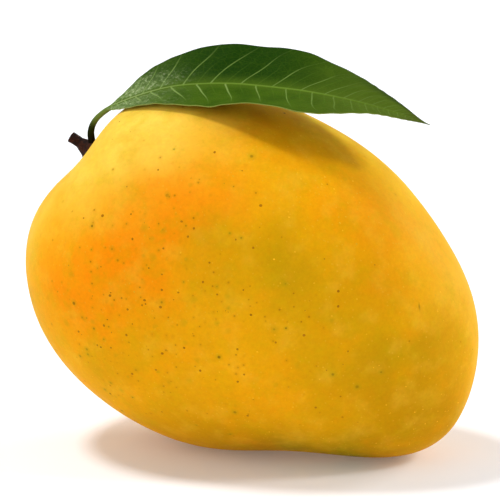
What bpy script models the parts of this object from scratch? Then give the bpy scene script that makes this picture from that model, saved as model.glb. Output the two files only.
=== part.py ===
"""A ripe mango as picked: the whole fruit, a cut stub of its stem, and one leaf.

The fruit lies on its belly with a broad side to the front, -Y. Its stem end points up to -X and
its beak lies low at +X. The leaf grows from the foot of the stem and lies across the top.
The origin is on the surface that the fruit rests on, under the fruit's middle.
"""

import math

import bmesh
import bpy
from mathutils import Vector
from mathutils.geometry import interpolate_bezier

MM = 0.001
GAP = 0.3 * MM

# Fruit: an ellipse tilted in the XZ plane gives its broad side, and the swells shape its outline
FRUIT_HALF_LENGTH = 66.0 * MM
FRUIT_HALF_HEIGHT = 48.4 * MM
FRUIT_HALF_THICKNESS = 39.0 * MM
FRUIT_TILT = math.radians(-17.3)
FRUIT_MIDDLE_HEIGHT = 45.9 * MM
FRUIT_TAPER = 0.12
SECTION_FULLNESS = 2.1
FRUIT_CUTS = 19

# Each swell of the outline: its angle round the middle from +X, its spread in degrees, its height
SWELLS = {
    "beak": (-40.0, 16.0, 5.7 * MM),
    "hollow behind the beak": (-70.0, 28.0, -5.2 * MM),
    "beak end": (12.5, 26.5, -4.95 * MM),
    "back": (53.4, 34.0, -2.7 * MM),
    "stem end": (144.0, 16.4, -6.6 * MM),
    "shoulder": (166.0, 27.0, -5.6 * MM),
}

# Below, the skin is pressed flat where it rests, and nothing else comes near the surface
FLAT_HALF_LENGTH = 12.0 * MM
FLAT_HALF_WIDTH = 8.0 * MM
FLAT_CORNER_STRETCH = 0.06
CLEARANCE = 0.5 * MM

# Stem: it stands in a shallow pit, and each of its points has a radius
PIT_ANGLE = math.radians(143.0)
PIT_RADIUS = 6.5 * MM
PIT_DEPTH = 1.6 * MM
STEM_POINTS = [
    (Vector((-39.0, 0.0, 75.4)) * MM, 3.5 * MM),
    (Vector((-41.8, 0.0, 77.2)) * MM, 3.6 * MM),
    (Vector((-43.2, 0.0, 78.4)) * MM, 3.5 * MM),
    (Vector((-44.4, 0.0, 79.15)) * MM, 2.3 * MM),
    (Vector((-46.2, 0.0, 80.35)) * MM, 1.5 * MM),
    (Vector((-48.7, 0.0, 81.8)) * MM, 1.55 * MM),
]
STEM_RING_STEPS = 3
STEM_ROUNDNESS = 6
WELD_DISTANCE = 0.01 * MM

# Leaf stalk, from inside the foot of the stem to the blade
STALK_POINTS = [
    Vector((-41.6, -0.9, 77.9)) * MM,
    Vector((-42.3, -1.2, 80.8)) * MM,
    Vector((-42.3, -1.8, 83.9)) * MM,
    Vector((-40.8, -2.6, 86.8)) * MM,
]
STALK_FOOT_RADIUS = 1.1 * MM
STALK_NECK_RADIUS = 0.75 * MM
STALK_ROWS = 9

# Midrib of the blade, from the stalk to the tip
MIDRIB_POINTS = [
    Vector((-37.9, -3.5, 89.3)) * MM,
    Vector((-33.9, -4.5, 91.4)) * MM,
    Vector((-25.7, -5.3, 94.5)) * MM,
    Vector((-17.9, -4.8, 96.5)) * MM,
    Vector((-9.7, -3.9, 97.3)) * MM,
    Vector((-1.3, -3.9, 97.5)) * MM,
    Vector((7.4, -4.7, 97.1)) * MM,
    Vector((16.1, -5.7, 96.5)) * MM,
    Vector((24.8, -6.7, 95.4)) * MM,
    Vector((33.2, -7.5, 93.9)) * MM,
    Vector((41.5, -7.7, 91.8)) * MM,
    Vector((50.2, -8.0, 89.2)) * MM,
]
RIB_BASE_HALF_WIDTH = 0.8 * MM
RIB_TIP_HALF_WIDTH = 0.35 * MM
RIB_RISE = 0.15 * MM
RIB_DROP = 0.35 * MM
RIB_TAPER = 0.75
RIB_STEPS = 2

# How much of the rib's rise and drop there is at its middle, halfway out and at its edge
RIB_CREST = (1.0, 0.84, 0.0)

# The way that the spine heads is taken over this distance before and after a point
HEADING_REACH = 1.5 * MM

# Blade: two halves folded up along the midrib, which start as a wedge and end in a drawn-out tip
BLADE_HALF_WIDTH = 15.8 * MM
BLADE_THICKNESS = 0.6 * MM
BLADE_TIP_HALF_WIDTH = 0.12 * MM
BLADE_WIDEST = 0.94
BLADE_FULLNESS = 0.66
BLADE_WEDGE = 0.08
BLADE_TIP_POWER = 9.0
BLADE_NECK = 0.05
MARGIN_STEPS = 4

# The front half droops towards the viewer, and the back half stands up behind the midrib
FRONT_FOLD = math.radians(-10.5)
FRONT_CURL = math.radians(-6.0)
BACK_FOLD_AT_BASE = math.radians(43.0)
BACK_FOLD_AT_TIP = math.radians(22.0)
BACK_CURL = math.radians(-6.0)

# Each wave of a margin: its place along the blade, its spread, how far the margin is lifted
FRONT_WAVES = [
    (0.09, 0.07, -0.4 * MM),
    (0.279, 0.08, -0.6 * MM),
    (0.392, 0.05, -0.5 * MM),
    (0.544, 0.10, 1.5 * MM),
    (0.687, 0.06, -0.4 * MM),
    (0.848, 0.07, 0.9 * MM),
]
BACK_WAVES = [
    (0.06, 0.05, -0.7 * MM),
    (0.212, 0.06, -0.1 * MM),
    (0.357, 0.085, 1.2 * MM),
    (0.53, 0.07, 1.2 * MM),
    (0.60, 0.05, 0.5 * MM),
    (0.791, 0.07, -0.3 * MM),
]

# Side veins: how far they sweep towards the tip, how far apart they are, how the blade puffs up
FRONT_SWEEP = 0.076
BACK_SWEEP = 0.123
SWEEP_BEND = 1.5
VEIN_SPACING = 0.46
VEIN_LEAST_SPACING = 0.9 * MM
ROWS_BETWEEN_VEINS = 3
LAST_FIELD = 1.5
PUFF = 0.25 * MM
PUFF_HELD_FROM = 0.85

SKIN_YELLOW = (0.90, 0.42, 0.02, 1.0)
BARK_BROWN = (0.045, 0.012, 0.006, 1.0)
LEAF_GREEN = (0.045, 0.11, 0.012, 1.0)
SKIN_ROUGHNESS = 0.4
BARK_ROUGHNESS = 0.8
LEAF_ROUGHNESS = 0.45


def clear_scene():
    for thing in list(bpy.data.objects):
        bpy.data.objects.remove(thing, do_unlink=True)


def add_collection(name):
    group = bpy.data.collections.new(name)
    bpy.context.scene.collection.children.link(group)
    return group


def make_material(name, colour, roughness):
    material = bpy.data.materials.new(name)
    material.use_nodes = True
    shader = material.node_tree.nodes["Principled BSDF"]
    shader.inputs["Base Color"].default_value = colour
    shader.inputs["Roughness"].default_value = roughness
    shader.inputs["Metallic"].default_value = 0.0
    return material


def add_part(name, mesh, group, material):
    part = bpy.data.objects.new(name, mesh)
    group.objects.link(part)
    mesh.materials.clear()
    mesh.materials.append(material)
    mesh.shade_smooth()
    return part


def add_room(name, part, group):
    """A cutter: the part with a gap all round it."""
    mesh = part.data.copy()
    for vertex in mesh.vertices:
        vertex.co += vertex.normal * GAP
    room = bpy.data.objects.new(name, mesh)
    group.objects.link(room)
    room.hide_render = True
    room.display_type = "WIRE"
    return room


def cut_away(part, room):
    cut = part.modifiers.new(room.name, "BOOLEAN")
    cut.operation = "DIFFERENCE"
    cut.object = room


def ease(value):
    """Runs smoothly from 0 to 1 as the value does."""
    value = min(max(value, 0.0), 1.0)
    return value * value * (3.0 - 2.0 * value)


def fruit_outline(angle, fade):
    """Distance from the fruit's middle to its skin at an angle, seen from the broad side."""
    turned = angle - FRUIT_TILT
    along = math.cos(turned) / FRUIT_HALF_LENGTH
    up = math.sin(turned) / FRUIT_HALF_HEIGHT
    radius = 1.0 / math.hypot(along, up)
    for centre, spread, height in SWELLS.values():
        away = (angle - math.radians(centre) + math.pi) % math.tau - math.pi
        radius += fade * height * math.exp(-((away / math.radians(spread)) ** 2))
    return radius


def skin_without_pit(direction):
    """Where the skin is in a direction from the fruit's middle."""
    angle = math.atan2(direction.z, direction.x)
    broad = math.hypot(direction.x, direction.z)
    bend = 2.0 / SECTION_FULLNESS
    reach = fruit_outline(angle, broad**2) * broad**bend
    x = reach * math.cos(angle)
    z = reach * math.sin(angle)
    along = (x * math.cos(FRUIT_TILT) + z * math.sin(FRUIT_TILT)) / FRUIT_HALF_LENGTH
    half_thickness = FRUIT_HALF_THICKNESS * (1.0 - FRUIT_TAPER * along)
    y = math.copysign(half_thickness * abs(direction.y) ** bend, direction.y)
    return Vector((x, y, z + FRUIT_MIDDLE_HEIGHT))


def flat_spot_point(direction):
    """Where a direction from the fruit's middle meets the flat spot, if it does.

    The corners of the spot reach out a little, so that the fruit rests steadily on those four.
    """
    if direction.z >= 0.0:
        return None
    point = direction * (-FRUIT_MIDDLE_HEIGHT / direction.z)
    along = abs(point.x) / FLAT_HALF_LENGTH
    across = abs(point.y) / FLAT_HALF_WIDTH
    if max(along, across) > 1.0:
        return None
    stretch = 1.0 + FLAT_CORNER_STRETCH * along * across
    return Vector((point.x * stretch, point.y * stretch, 0.0))


def skin_point(direction):
    """The skin with the pit round the stem, and with the flat spot that it rests on."""
    flat = flat_spot_point(direction)
    if flat is not None:
        return flat
    inward = Vector((-math.cos(PIT_ANGLE), 0.0, -math.sin(PIT_ANGLE)))
    pit = skin_without_pit(-inward)
    point = skin_without_pit(direction)
    away = (point - pit).length / PIT_RADIUS
    point += inward * PIT_DEPTH * math.exp(-(away**2))
    point.z = max(point.z, CLEARANCE)
    return point


def build_fruit(group):
    """A cube cut into squares, rounded to a ball and then drawn out to the skin."""
    shape = bmesh.new()
    bmesh.ops.create_cube(shape, size=2.0)
    bmesh.ops.subdivide_edges(shape, edges=shape.edges[:], cuts=FRUIT_CUTS, use_grid_fill=True)
    for vertex in shape.verts:
        evened = [math.tan(value * math.pi / 4.0) for value in vertex.co]
        vertex.co = skin_point(Vector(evened).normalized())
    mesh = bpy.data.meshes.new("fruit")
    shape.to_mesh(mesh)
    shape.free()
    return add_part("fruit", mesh, group, make_material("skin", SKIN_YELLOW, SKIN_ROUGHNESS))


def build_stem(group):
    """A tube that flares into the pit, capped where it was cut."""
    curve = bpy.data.curves.new("stem", "CURVE")
    curve.dimensions = "3D"
    curve.bevel_depth = 1.0
    curve.bevel_resolution = STEM_ROUNDNESS
    curve.resolution_u = STEM_RING_STEPS
    curve.use_fill_caps = True
    spline = curve.splines.new("BEZIER")
    spline.bezier_points.add(len(STEM_POINTS) - 1)
    for knot, (place, radius) in zip(spline.bezier_points, STEM_POINTS):
        knot.co = place
        knot.radius = radius
        knot.handle_left_type = "AUTO"
        knot.handle_right_type = "AUTO"
    tube = bpy.data.objects.new("stem tube", curve)
    group.objects.link(tube)
    bpy.context.view_layer.update()
    seen = tube.evaluated_get(bpy.context.evaluated_depsgraph_get())
    mesh = bpy.data.meshes.new_from_object(seen)
    bpy.data.objects.remove(tube, do_unlink=True)
    shape = bmesh.new()
    shape.from_mesh(mesh)
    bmesh.ops.remove_doubles(shape, verts=shape.verts[:], dist=WELD_DISTANCE)
    shape.to_mesh(mesh)
    shape.free()
    return add_part("stem", mesh, group, make_material("bark", BARK_BROWN, BARK_ROUGHNESS))


class Spine:
    """The smooth line that the stalk and then the midrib follow, by distance from its start."""

    def __init__(self, knots, steps=24):
        first = 2 * knots[0] - knots[1]
        last = 2 * knots[-1] - knots[-2]
        ends = [first, *knots, last]
        self.points = []
        for before, start, stop, after in zip(ends, ends[1:], ends[2:], ends[3:]):
            leaving = start + (stop - before) / 6.0
            arriving = stop - (after - start) / 6.0
            self.points += interpolate_bezier(start, leaving, arriving, stop, steps + 1)[:-1]
        self.points.append(knots[-1])
        self.distances = [0.0]
        for start, stop in zip(self.points, self.points[1:]):
            self.distances.append(self.distances[-1] + (stop - start).length)
        self.length = self.distances[-1]
        self.steps = steps

    def distance_at_knot(self, index):
        return self.distances[index * self.steps]

    def point(self, distance):
        distance = min(max(distance, 0.0), self.length)
        later = 1
        while later < len(self.distances) - 1 and self.distances[later] < distance:
            later += 1
        span = self.distances[later] - self.distances[later - 1]
        part = (distance - self.distances[later - 1]) / span
        return self.points[later - 1].lerp(self.points[later], part)

    def frame(self, distance):
        """A point of the line, and there the ways to the back margin and up from the blade."""
        ahead = self.point(distance + HEADING_REACH) - self.point(distance - HEADING_REACH)
        ahead.normalize()
        to_back = Vector((0.0, 1.0, 0.0)) - ahead * ahead.y
        to_back.normalize()
        return self.point(distance), to_back, ahead.cross(to_back)


def rib_half_width(along):
    return RIB_BASE_HALF_WIDTH + (RIB_TIP_HALF_WIDTH - RIB_BASE_HALF_WIDTH) * along


def blade_half_width(along):
    """From the edge of the rib to the margin, at a fraction of the blade's length."""
    along = min(max(along, 0.0), 1.0)
    swell = max(math.sin(math.pi * along**BLADE_WIDEST), 0.0) ** BLADE_FULLNESS
    wedge = 1.0 - math.exp(-along / BLADE_WEDGE)
    drawn_out = 1.0 - along**BLADE_TIP_POWER
    return BLADE_TIP_HALF_WIDTH + BLADE_HALF_WIDTH * swell * wedge * drawn_out


def half_fold(side, along):
    if side < 0:
        return FRONT_FOLD, FRONT_CURL
    return BACK_FOLD_AT_BASE + (BACK_FOLD_AT_TIP - BACK_FOLD_AT_BASE) * along, BACK_CURL


def margin_lift(side, along):
    waves = FRONT_WAVES if side < 0 else BACK_WAVES
    return sum(lift * math.exp(-(((along - place) / spread) ** 2)) for place, spread, lift in waves)


def blade_columns():
    """The columns from the front margin to the back one, as steps out from the midrib."""
    outwards = MARGIN_STEPS + RIB_STEPS
    return list(range(-outwards, outwards + 1))


def column_place(column):
    """How far out a column is: over the rib, and over the blade beside it, 0 to 1 each."""
    step = abs(column)
    return min(step / RIB_STEPS, 1.0), max(step - RIB_STEPS, 0) / MARGIN_STEPS


def blade_section(column, along, field):
    """Top and bottom of one column, as ways to the back and up, in the leaf's own section."""
    side = -1 if column < 0 else 1
    over_rib, out = column_place(column)
    distance = rib_half_width(along) * over_rib + blade_half_width(along) * out
    fold, curl = half_fold(side, along)
    bend = curl * distance / BLADE_HALF_WIDTH
    slope = fold + bend / 2.0
    place = Vector((side * distance * math.cos(slope), distance * math.sin(slope)))
    normal = Vector((-side * math.sin(fold + bend), math.cos(fold + bend)))
    other_fold = half_fold(-side, along)[0]
    other = Vector((side * math.sin(other_fold), math.cos(other_fold)))
    normal = normal.lerp(other, (1.0 - over_rib) / 2.0).normalized()
    puff = PUFF * math.sin(math.pi * field) ** 2 * math.sin(math.pi * min(out, PUFF_HELD_FROM))
    place += normal * (margin_lift(side, along) * out**2 + puff)
    crest = RIB_CREST[min(abs(column), RIB_STEPS)]
    above = BLADE_THICKNESS / 2.0 + RIB_RISE * crest
    below = BLADE_THICKNESS / 2.0 + RIB_DROP * crest * (1.0 - RIB_TAPER * along)
    return place + normal * above, place - normal * below


def stalk_section(index, count, radius):
    """Top and bottom of one column where the leaf is a round stalk."""
    angle = math.pi * (1.0 - (index + 0.5) / count)
    top = Vector((math.cos(angle), math.sin(angle))) * radius
    return top, Vector((top.x, -top.y))


def leaf_rows(blade_length):
    """Each row's place along the blade, and its place between two side veins, 0 to 1.

    A last field shorter than half of the one before it is joined to that one.
    """
    rows = []
    along = 0.0
    while along < 1.0:
        spacing = VEIN_LEAST_SPACING + VEIN_SPACING * blade_half_width(along)
        share = spacing / blade_length
        share = 1.0 - along if along + LAST_FIELD * share > 1.0 else share
        for row in range(ROWS_BETWEEN_VEINS):
            field = row / ROWS_BETWEEN_VEINS
            rows.append((along + share * field, field))
        along += share
    rows.append((1.0, 0.0))
    return rows


def swept_place(column, along):
    """A row bends towards the tip as it runs out, most at the middle of the blade's length."""
    sweep = BACK_SWEEP if column > 0 else FRONT_SWEEP
    inside = min(max(along, 0.0), 1.0)
    most_in_the_middle = 4.0 * inside * (1.0 - inside)
    return along + sweep * column_place(column)[1] ** SWEEP_BEND * most_in_the_middle


def leaf_rings(spine, blade_start):
    """Rings round the leaf from the foot of the stalk to the tip: tops, then bottoms."""
    columns = blade_columns()
    blade_length = spine.length - blade_start
    stalk_share = blade_start / blade_length
    rows = [((row / STALK_ROWS - 1.0) * stalk_share, 0.0) for row in range(STALK_ROWS)]
    rings = []
    for along, field in rows + leaf_rows(blade_length):
        tops = []
        bottoms = []
        for index, column in enumerate(columns):
            swept = swept_place(column, along)
            flat = ease(swept / BLADE_NECK)
            thin = ease(1.0 + swept * blade_length / blade_start)
            radius = STALK_FOOT_RADIUS + (STALK_NECK_RADIUS - STALK_FOOT_RADIUS) * thin
            point, to_back, up = spine.frame(blade_start + swept * blade_length)
            stalk = stalk_section(index, len(columns), radius)
            blade = blade_section(column, max(swept, 0.0), field)
            for round_one, flat_one, ring in zip(stalk, blade, (tops, bottoms)):
                local = round_one.lerp(flat_one, flat)
                ring.append(point + to_back * local.x + up * local.y)
        rings.append(tops + bottoms)
    return rings


def leaf_faces(ring_count, columns):
    """Triangles over the rings, split the same way on the top and the bottom face."""
    faces = []
    around = 2 * columns

    def wall(a, b, c, d):
        faces.append((a, b, c))
        faces.append((a, c, d))

    for ring in range(ring_count - 1):
        here = ring * around
        there = here + around
        for column in range(columns - 1):
            top = here + column
            top_next = there + column
            wall(top, top_next, top_next + 1, top + 1)
            low = top + columns
            low_next = top_next + columns
            faces.append((low, low_next + 1, low_next))
            faces.append((low, low + 1, low_next + 1))
        wall(here, here + columns, there + columns, there)
        back = columns - 1
        wall(here + back, there + back, there + back + columns, here + back + columns)
    for column in range(columns - 1):
        last = (ring_count - 1) * around + column
        wall(column, column + 1, column + 1 + columns, column + columns)
        wall(last, last + columns, last + columns + 1, last + 1)
    return faces


def build_leaf(group):
    """The stalk and blade as one skin over rings that change from round to flat."""
    spine = Spine(STALK_POINTS + MIDRIB_POINTS)
    blade_start = spine.distance_at_knot(len(STALK_POINTS))
    rings = leaf_rings(spine, blade_start)
    points = [point for ring in rings for point in ring]
    mesh = bpy.data.meshes.new("leaf")
    mesh.from_pydata(points, [], leaf_faces(len(rings), len(blade_columns())))
    return add_part("leaf", mesh, group, make_material("leaf green", LEAF_GREEN, LEAF_ROUGHNESS))


def main():
    clear_scene()
    mango = add_collection("mango")
    cutters = add_collection("cutters")
    fruit = build_fruit(mango)
    stem = build_stem(mango)
    leaf = build_leaf(mango)
    room_round_fruit = add_room("room round fruit", fruit, cutters)
    room_round_stem = add_room("room round stem", stem, cutters)
    cut_away(stem, room_round_fruit)
    cut_away(leaf, room_round_fruit)
    cut_away(leaf, room_round_stem)


main()
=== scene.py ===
"""A ripe mango with its stem stub and one leaf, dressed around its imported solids.

The fruit, its lenticels and the stem are made by Geometry Nodes, and the leaf in mesh code.
Everything is in metres in the part's own frame: +Z up, stem end to -X, the seen side to -Y.
"""

import bisect
import math
import random

import bpy
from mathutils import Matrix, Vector
from mathutils.geometry import interpolate_bezier


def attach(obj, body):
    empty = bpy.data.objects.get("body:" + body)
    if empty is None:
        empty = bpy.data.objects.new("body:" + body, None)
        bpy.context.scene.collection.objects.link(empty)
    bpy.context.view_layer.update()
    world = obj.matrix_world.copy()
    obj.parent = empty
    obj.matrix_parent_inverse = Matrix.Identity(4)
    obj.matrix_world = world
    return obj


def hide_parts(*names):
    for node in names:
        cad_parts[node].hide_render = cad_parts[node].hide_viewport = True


MM = 0.001

# Camera: where it looks, from what side and how far, and how long its lens is
CAMERA_TARGET = Vector((1.19, 0.0, 53.27)) * MM
CAMERA_AZIMUTH = math.radians(15.0)
CAMERA_ELEVATION = math.radians(11.0)
CAMERA_DISTANCE = 500.0 * MM
CAMERA_CLIP_START = 0.01
SENSOR_WIDTH = 36.0
LENS = 135.65

# Fruit: an ellipse tilted in the XZ plane gives its broad side, and the swells shape its outline
FRUIT_SEGMENTS = 104
FRUIT_HALF_LENGTH = 66.0 * MM
FRUIT_HALF_HEIGHT = 48.4 * MM
FRUIT_HALF_THICKNESS = 39.0 * MM
FRUIT_TILT = math.radians(-17.3)
FRUIT_MIDDLE_HEIGHT = 45.9 * MM
FRUIT_TAPER = 0.12
SECTION_FULLNESS = 2.1
FRUIT_INSET = 0.12 * MM
UNDULATION = 0.22 * MM
UNDULATION_SIZE = 17.0 * MM

# Each swell of the outline: its angle round the middle from +X, its spread in degrees, its height
SWELLS = {
    "beak": (-40.0, 16.0, 5.7 * MM),
    "hollow behind the beak": (-70.0, 28.0, -5.2 * MM),
    "beak end": (12.5, 26.5, -4.95 * MM),
    "back": (53.4, 34.0, -2.7 * MM),
    "stem end": (144.0, 16.4, -6.6 * MM),
    "shoulder": (166.0, 27.0, -5.6 * MM),
}
PIT_CENTRE = Vector((-42.89, 0.0, 78.22)) * MM
PIT_INWARD = Vector((0.7986, 0.0, -0.6018))
PIT_RADIUS = 6.5 * MM
PIT_DEPTH = 1.6 * MM

# Lenticels: for each kind its number to a square metre, its radius, how flat it is, its seed
LENTICELS = {
    "lenticels_dark": (34000.0, 0.225 * MM, 0.20, 11),
    "lenticels_pale": (30000.0, 0.13 * MM, 0.25, 29),
}
LENTICEL_GROWTH = (0.45, 1.60)
LENTICEL_STRETCH = (0.8, 1.3)
LENTICEL_STRETCH_SEED = 3
CLEAR_OF_REST = (1.0 * MM, 3.0 * MM)

# Dark lenticels: the patches low, high and to the right on both broad sides, with their spreads
DARK_PATCHES = [
    ((-15.0 * MM, 38.0 * MM, 44.0 * MM), 24.0 * MM),
    ((-10.0 * MM, 36.0 * MM, 66.0 * MM), 14.0 * MM),
    ((18.0 * MM, 36.0 * MM, 36.0 * MM), 18.0 * MM),
]
DARK_OUTER_SHARE = 0.25
DARK_LEAST_SHARE = 0.02

# Pale lenticels: between which two places along X they grow thicker, and the fewest there are
PALE_THICKENING = (-20.0 * MM, 30.0 * MM)
PALE_LEAST_SHARE = 0.15

# Stem: the points that it follows with their radii, and how rough its bark is
STEM_POINTS = [
    (Vector((-39.0, 0.0, 75.4)) * MM, 3.5 * MM),
    (Vector((-41.8, 0.0, 77.2)) * MM, 3.6 * MM),
    (Vector((-43.2, 0.0, 78.4)) * MM, 3.5 * MM),
    (Vector((-44.4, 0.0, 79.15)) * MM, 2.3 * MM),
    (Vector((-46.2, 0.0, 80.35)) * MM, 1.5 * MM),
    (Vector((-48.7, 0.0, 81.8)) * MM, 1.55 * MM),
]
STEM_RINGS = 60
STEM_RING_POINTS = 48
BARK_DEPTH = 0.16 * MM
BARK_SIZE = 0.9 * MM
BARK_SQUEEZE = (0.4, 1.0, 0.75)
BARK_LEVEL = 0.62
BARK_SEED = 5.0

# Leaf: the stalk, then the midrib to the tip
STALK_POINTS = [
    Vector((-41.6, -0.9, 77.9)) * MM,
    Vector((-42.3, -1.2, 80.8)) * MM,
    Vector((-42.3, -1.8, 83.9)) * MM,
    Vector((-40.8, -2.6, 86.8)) * MM,
]
MIDRIB_POINTS = [
    Vector((-37.9, -3.5, 89.3)) * MM,
    Vector((-33.9, -4.5, 91.4)) * MM,
    Vector((-25.7, -5.3, 94.5)) * MM,
    Vector((-17.9, -4.8, 96.5)) * MM,
    Vector((-9.7, -3.9, 97.3)) * MM,
    Vector((-1.3, -3.9, 97.5)) * MM,
    Vector((7.4, -4.7, 97.1)) * MM,
    Vector((16.1, -5.7, 96.5)) * MM,
    Vector((24.8, -6.7, 95.4)) * MM,
    Vector((33.2, -7.5, 93.9)) * MM,
    Vector((41.5, -7.7, 91.8)) * MM,
    Vector((50.2, -8.0, 89.2)) * MM,
]
STALK_FOOT_RADIUS = 1.05 * MM
STALK_NECK_RADIUS = 0.72 * MM
STALK_ROWS = 36
HEADING_REACH = 1.5 * MM
RIB_BASE_HALF_WIDTH = 0.8 * MM
RIB_TIP_HALF_WIDTH = 0.35 * MM
RIB_RISE = 0.22 * MM
RIB_RISE_TAPER = 0.4
RIB_DROP = 0.45 * MM
RIB_DROP_TAPER = 0.75
RIB_STEPS = 3
BLADE_HALF_WIDTH = 15.8 * MM
BLADE_THICKNESS = 0.36 * MM
BLADE_TIP_HALF_WIDTH = 0.05 * MM
TIP_THINNEST = 0.25
TIP_THINNING_SHARE = 0.09
BLADE_WIDEST = 0.94
BLADE_FULLNESS = 0.66
BLADE_WEDGE = 0.08
BLADE_TIP_POWER = 9.0
BLADE_NECK = 0.05
BLADE_STEPS = 26
EDGE_THINNING = 0.6
EDGE_THINNING_POWER = 12

# Marks on the leaf's points: from the nearest side vein, from midway between two veins and from
# the midrib, all in millimetres, then how far out to the margin and how much of a stalk, 0 to 1
LEAF_MARKS = ("vein", "between", "rib", "out", "stalk")

# The front half droops towards the viewer, and the back half stands up behind the midrib
FRONT_FOLD = math.radians(-10.5)
BACK_FOLD_AT_BASE = math.radians(43.0)
BACK_FOLD_AT_TIP = math.radians(22.0)
FOLD_CURL = math.radians(-6.0)

# Each wave of a margin: its place along the blade, its spread, how far the margin is lifted
FRONT_WAVES = [
    (0.09, 0.07, -0.4 * MM),
    (0.279, 0.08, -0.6 * MM),
    (0.392, 0.05, -0.5 * MM),
    (0.544, 0.10, 1.5 * MM),
    (0.687, 0.06, -0.4 * MM),
    (0.848, 0.07, 0.9 * MM),
]
BACK_WAVES = [
    (0.06, 0.05, -0.7 * MM),
    (0.212, 0.06, -0.1 * MM),
    (0.357, 0.085, 1.2 * MM),
    (0.53, 0.07, 1.2 * MM),
    (0.60, 0.05, 0.5 * MM),
    (0.791, 0.07, -0.3 * MM),
]

# Side veins: where the rows of the mesh lie between one vein and the next, close at each vein
FIELD_ROWS = [0.0, 0.025, 0.055, 0.11, 0.2, 0.3, 0.39, 0.445, 0.475]
FRONT_SWEEP = (0.125, 0.050)
BACK_SWEEP = (0.108, 0.108)
FRONT_SWEEP_BEND = 1.10
BACK_SWEEP_BEND = 1.05
MARGIN_ARCH = 0.005
MARGIN_ARCH_POWER = 7.0
VEIN_SPACING = 0.48
VEIN_CROWDING = 0.50
VEIN_CROWDING_START = 0.42
VEIN_CROWDING_RUN = 0.4
VEIN_LEAST_SPACING = 1.1 * MM
LAST_FIELD = 1.5
VEIN_WANDER = 0.008
VEIN_WANDER_TURNS = (0.7, 1.5)
VEIN_WANDER_SEED = 4
VEIN_SWEEP_CHANGE = 0.12
VEIN_RELIEF = 0.07 * MM
VEIN_RELIEF_WIDTH = 0.35
VEIN_RELIEF_RISE = 8.0
VEIN_RELIEF_LOSS = 0.6
PUFF = 0.28 * MM
PUFF_HELD_FROM = 0.85
PUFF_FULL_WIDTH = 0.5

# The room: for each lamp the way that it shines from, its strength and its width in degrees
FLOOR_HALF_WIDTH = 8.0
FLOOR_COLOUR = (0.91, 0.925, 0.955, 1.0)
FLOOR_GLOW_COLOUR = (1.0, 0.97, 0.95, 1.0)
FLOOR_GLOW = 0.09
SKY_LOW_COLOUR = (1.0, 1.0, 1.0, 1.0)
SKY_HIGH_COLOUR = (0.42, 0.43, 0.44, 1.0)
SKY_CHANGE = (0.05, 0.55)
SKY_STRENGTH = 0.88
LAMPS = {
    "left key": ((-0.4, 0.0, 1.0), 1.88, 12.0),
    "right key": ((1.25, 0.2, 1.0), 0.95, 12.0),
    "rim lamp": ((0.9, 1.0, 0.5), 1.1, 20.0),
    "fill lamp": ((-0.70, -0.95, 0.55), 0.52, 60.0),
}


class Wire:
    """A value inside a node tree. Arithmetic on it adds the node that works it out."""

    def __init__(self, tree, socket):
        self.tree = tree
        self.socket = socket

    def __add__(self, other):
        return self.tree.math("ADD", self, other)

    def __radd__(self, other):
        return self.tree.math("ADD", other, self)

    def __sub__(self, other):
        return self.tree.math("SUBTRACT", self, other)

    def __rsub__(self, other):
        return self.tree.math("SUBTRACT", other, self)

    def __mul__(self, other):
        return self.tree.math("MULTIPLY", self, other)

    def __rmul__(self, other):
        return self.tree.math("MULTIPLY", other, self)

    def __truediv__(self, other):
        return self.tree.math("DIVIDE", self, other)

    def __rtruediv__(self, other):
        return self.tree.math("DIVIDE", other, self)

    def __pow__(self, other):
        return self.tree.math("POWER", self, other)

    def __neg__(self):
        return self.tree.math("MULTIPLY", self, -1.0)


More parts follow.
